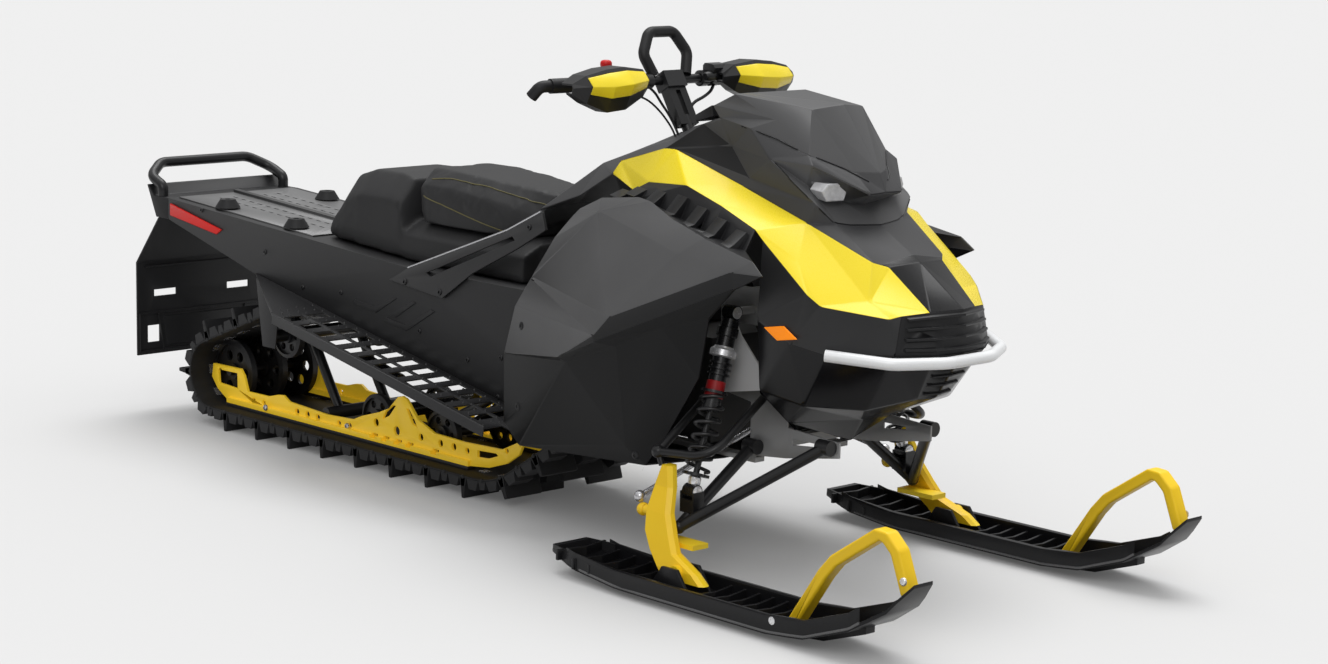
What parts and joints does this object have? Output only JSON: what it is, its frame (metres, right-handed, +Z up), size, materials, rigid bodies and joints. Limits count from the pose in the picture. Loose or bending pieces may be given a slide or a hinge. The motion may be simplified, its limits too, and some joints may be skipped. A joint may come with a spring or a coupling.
{
  "type": "snowmobile",
  "caption": "Mountain snowmobile with a long lugged track, two steered skis on wishbones, folded plastic bodywork, low seat and an open tunnel with a rear grab hoop.",
  "frame": {"origin": "on the ground under the middle of the whole machine's box", "axes": "+X forwards, +Y to the rider's left, +Z up"},
  "size_m": [3.13, 1.04, 1.1795],
  "materials": {
    "coated_aluminium": "satin",
    "cooler_panel": "satin",
    "black_tube": "semi-gloss",
    "black_plastic": "semi-gloss",
    "grey_plastic": "textured",
    "yellow_plastic": "gloss",
    "yellow_metal": "semi-gloss",
    "yellow_loop": "satin",
    "silver_tube": "gloss",
    "grey_metal": "satin",
    "strut_metal": "satin",
    "steel_rod": "satin",
    "damper_metal": "semi-gloss",
    "spring_steel": "semi-gloss",
    "engine_block": "rough",
    "red_lens": "clear lens",
    "amber_lens": "clear lens",
    "lamp_lens": "clear lens",
    "anchor_plastic": "moulded",
    "rubber_sheet": "satin",
    "track_rubber": "matte",
    "grip_rubber": "matte",
    "wheel_plastic": "satin",
    "slide_plastic": "satin",
    "ski_plastic": "satin",
    "seat_vinyl": "grained vinyl",
    "guard_plastic": "semi-gloss",
    "lever_plastic": "satin",
    "red_plastic": "gloss"
  },
  "bodies": {
    "chassis": {"tunnel": "coated_aluminium", "tunnel_deck": "cooler_panel", "running_boards": "coated_aluminium", "rear_bumper": "black_tube", "rear_panel": "black_plastic", "taillights": "red_lens", "cargo_anchors": "anchor_plastic", "snow_flap": "rubber_sheet", "seat": "seat_vinyl", "seat_tail": "seat_vinyl", "side_struts": "strut_metal", "hood": "grey_plastic", "side_cowls": "yellow_plastic", "vents": "black_plastic", "side_panel_right": "grey_plastic", "side_panel_left": "grey_plastic", "windshield": "black_plastic", "headlights": "lamp_lens", "nose": "black_plastic", "grille": "black_plastic", "belly_pan": "black_plastic", "front_bumper": "silver_tube", "reflectors": "amber_lens", "gauge": "black_plastic", "bulkhead": "grey_metal", "engine": "engine_block", "rails": "yellow_metal", "slides": "slide_plastic", "rear_axle": "wheel_plastic", "idler_wheels": "wheel_plastic", "rear_arm": "black_tube", "front_arm": "black_tube", "rear_shock": "damper_metal", "drive_axle": "grey_metal", "track": "track_rubber", "upper_arms": "black_tube", "lower_arms": "black_tube", "front_shocks": "damper_metal", "shock_springs": "spring_steel"},
    "steering": {"steering_post": "black_tube", "handlebar": "black_tube", "grips": "grip_rubber", "hand_guards": "guard_plastic", "guard_inserts": "yellow_plastic", "controls": "lever_plastic", "kill_switch": "red_plastic", "grab_loop": "grip_rubber"},
    "knuckle_right": {"spindle_right": "yellow_metal"},
    "ski_set_right": {"ski_right": "ski_plastic", "ski_loop_right": "yellow_loop"},
    "link_right": {"tie_rod_right": "steel_rod"},
    "knuckle_left": {"spindle_left": "yellow_metal"},
    "ski_set_left": {"ski_left": "ski_plastic", "ski_loop_left": "yellow_loop"},
    "link_left": {"tie_rod_left": "steel_rod"}
  },
  "joints": [
    {"name": "steer", "type": "hinge", "parent": "chassis", "child": "steering", "pos_m": [0.351, 0, 1.057], "axis": [-0.515, 0, 0.8572], "range_deg": [-35, 35]},
    {"name": "spindle_turn_right", "type": "hinge", "parent": "chassis", "child": "knuckle_right", "pos_m": [0.806, -0.378, 0.139], "axis": [-0.4067, 0, 0.9135], "range_deg": [-28, 28]},
    {"name": "tie_rod_turn_right", "type": "hinge", "parent": "knuckle_right", "child": "link_right", "pos_m": [0.69939, -0.395, 0.19061], "axis": [-0.4067, 0, 0.9135], "range_deg": [-28, 28]},
    {"name": "ski_pitch_right", "type": "hinge", "parent": "knuckle_right", "child": "ski_set_right", "pos_m": [0.88, -0.44, 0.062], "axis": [0, 1, 0], "range_deg": [-10, 10]},
    {"name": "spindle_turn_left", "type": "hinge", "parent": "chassis", "child": "knuckle_left", "pos_m": [0.806, 0.378, 0.139], "axis": [-0.4067, 0, 0.9135], "range_deg": [-28, 28]},
    {"name": "tie_rod_turn_left", "type": "hinge", "parent": "knuckle_left", "child": "link_left", "pos_m": [0.69939, 0.395, 0.19061], "axis": [-0.4067, 0, 0.9135], "range_deg": [-28, 28]},
    {"name": "ski_pitch_left", "type": "hinge", "parent": "knuckle_left", "child": "ski_set_left", "pos_m": [0.88, 0.44, 0.062], "axis": [0, 1, 0], "range_deg": [-10, 10]}
  ],
  "couplings": [
    {"joint": "spindle_turn_right", "follows": "steer", "ratio": 0.78},
    {"joint": "tie_rod_turn_right", "follows": "steer", "ratio": -0.78},
    {"joint": "spindle_turn_left", "follows": "steer", "ratio": 0.78},
    {"joint": "tie_rod_turn_left", "follows": "steer", "ratio": -0.78}
  ]
}
